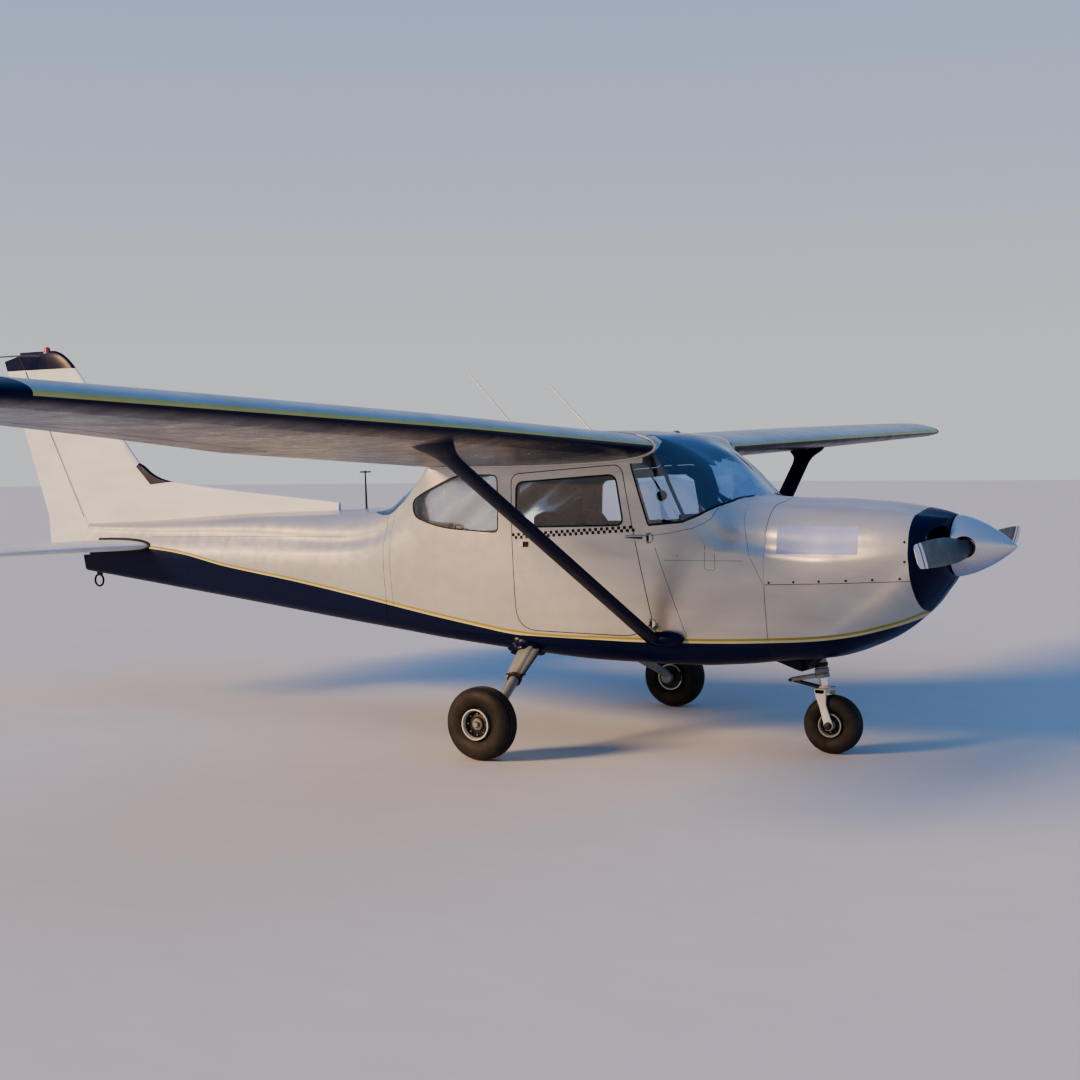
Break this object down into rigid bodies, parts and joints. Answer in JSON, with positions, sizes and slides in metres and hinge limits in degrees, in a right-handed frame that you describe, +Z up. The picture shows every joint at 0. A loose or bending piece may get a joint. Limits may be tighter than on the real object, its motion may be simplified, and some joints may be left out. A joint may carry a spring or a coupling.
{
  "type": "light aircraft",
  "caption": "High-wing light aircraft with lift struts, fixed three-wheel gear, opening doors, working control surfaces and a propeller that turns.",
  "frame": {"origin": "On the ground under the middle of the aircraft's length and span.", "axes": "+X points forward to the propeller, +Y to the aircraft's left wing tip, +Z up."},
  "size_m": [8.2716, 10.92, 2.716],
  "materials": {
    "silver_paint": "silver-grey metallic paint on aluminium skin",
    "navy_paint": "dark navy gloss paint on aluminium skin",
    "white_paint": "off-white gloss paint on aluminium skin",
    "bare_metal": "bare aluminium",
    "gear_steel": "painted steel",
    "engine_iron": "dark cast metal",
    "blade_paint": "grey painted blade",
    "tip_plastic": "dark navy painted fairing",
    "panel_plastic": "dark moulded plastic",
    "seat_cloth": "dark woven cloth over padding",
    "tyre_rubber": "black tyre rubber",
    "window_glass": "clear window"
  },
  "bodies": {
    "airframe": {"firewall": "bare_metal", "floor": "navy_paint", "side_wall_left": "silver_paint", "side_wall_right": "silver_paint", "roof": "silver_paint", "tail_cone": "silver_paint", "windscreen": "window_glass", "rear_window": "window_glass", "quarter_window_left": "window_glass", "quarter_window_right": "window_glass", "engine": "engine_iron", "exhaust": "engine_iron", "cowl_upper": "silver_paint", "cowl_lower": "navy_paint", "nose_bowl": "navy_paint", "instrument_panel": "panel_plastic", "seat_front_left": "seat_cloth", "seat_front_right": "seat_cloth", "seat_rear": "seat_cloth", "wing_left": "silver_paint", "wing_right": "silver_paint", "wing_tip_left": "tip_plastic", "wing_tip_right": "tip_plastic", "strut_left": "navy_paint", "strut_right": "navy_paint", "fin": "white_paint", "fin_cap": "tip_plastic", "tailplane_left": "white_paint", "tailplane_right": "white_paint", "gear_leg_left": "gear_steel", "gear_leg_right": "gear_steel", "nose_strut": "gear_steel", "pitot": "bare_metal", "whip_front": "bare_metal", "whip_rear": "bare_metal", "spine_mast": "bare_metal"},
    "prop_body": {"propeller": "blade_paint", "spinner": "silver_paint"},
    "main_wheel_left": {"main_tyre_left": "tyre_rubber", "main_hub_left": "bare_metal"},
    "main_wheel_right": {"main_tyre_right": "tyre_rubber", "main_hub_right": "bare_metal"},
    "steered_fork": {"nose_fork": "gear_steel"},
    "nose_wheel": {"nose_tyre": "tyre_rubber", "nose_hub": "bare_metal"},
    "door_left_body": {"door_left": "silver_paint", "door_glass_left": "window_glass"},
    "door_right_body": {"door_right": "silver_paint", "door_glass_right": "window_glass"},
    "flap_left_body": {"flap_left": "silver_paint"},
    "flap_right_body": {"flap_right": "silver_paint"},
    "aileron_left_body": {"aileron_left": "silver_paint"},
    "aileron_right_body": {"aileron_right": "silver_paint"},
    "elevator_body": {"elevator": "white_paint"},
    "rudder_body": {"rudder": "white_paint"}
  },
  "joints": [
    {"name": "nose_steer", "type": "hinge", "parent": "airframe", "child": "steered_fork", "pos_m": [3.01275, 0, 0.4], "axis": [-0.1676, 0, 0.9859], "range_deg": [-30, 30]},
    {"name": "door_left_hinge", "type": "hinge", "parent": "airframe", "child": "door_left_body", "pos_m": [2.124, 0.525, 0.775], "axis": [0, -0.0792, -0.9969], "range_deg": [0, 55]},
    {"name": "door_right_hinge", "type": "hinge", "parent": "airframe", "child": "door_right_body", "pos_m": [2.124, -0.525, 0.775], "axis": [0, -0.0792, 0.9969], "range_deg": [0, 55]},
    {"name": "elevator_hinge", "type": "hinge", "parent": "airframe", "child": "elevator_body", "pos_m": [-2.995, 0, 1.13], "axis": [0, -1, 0], "range_deg": [-28, 23]},
    {"name": "rudder_hinge", "type": "hinge", "parent": "airframe", "child": "rudder_body", "pos_m": [-3.169, 0, 1.286], "axis": [-0.4913, 0, 0.871], "range_deg": [-17, 17]},
    {"name": "flap_left_hinge", "type": "hinge", "parent": "airframe", "child": "flap_left_body", "pos_m": [0.92572, 0.63, 1.73946], "axis": [-0.0007, -0.999, -0.0438], "range_deg": [0, 40]},
    {"name": "flap_right_hinge", "type": "hinge", "parent": "airframe", "child": "flap_right_body", "pos_m": [0.92572, -0.63, 1.73946], "axis": [0.0007, -0.999, 0.0438], "range_deg": [0, 40]},
    {"name": "aileron_left_hinge", "type": "hinge", "parent": "airframe", "child": "aileron_left_body", "pos_m": [0.87743, 2.592, 1.85352], "axis": [-0.0979, -0.9936, -0.0557], "range_deg": [-17.5, 17.5]},
    {"name": "aileron_right_hinge", "type": "hinge", "parent": "airframe", "child": "aileron_right_body", "pos_m": [0.87743, -2.592, 1.85352], "axis": [0.0979, -0.9936, 0.0557], "range_deg": [-17.5, 17.5]},
    {"name": "propeller_spin", "type": "hinge", "parent": "airframe", "child": "prop_body", "pos_m": [3.885, 0, 1.258], "axis": [1, 0, 0], "continuous": true},
    {"name": "main_wheel_left_spin", "type": "hinge", "parent": "airframe", "child": "main_wheel_left", "pos_m": [1.395, 1.27, 0.21663], "axis": [0, 1, 0], "continuous": true},
    {"name": "main_wheel_right_spin", "type": "hinge", "parent": "airframe", "child": "main_wheel_right", "pos_m": [1.395, -1.27, 0.21663], "axis": [0, 1, 0], "continuous": true},
    {"name": "nose_wheel_spin", "type": "hinge", "parent": "steered_fork", "child": "nose_wheel", "pos_m": [3.07, 0, 0.17489], "axis": [0, 1, 0], "continuous": true}
  ],
  "couplings": [
    {"joint": "flap_right_hinge", "follows": "flap_left_hinge", "ratio": 1},
    {"joint": "aileron_right_hinge", "follows": "aileron_left_hinge", "ratio": -1}
  ]
}
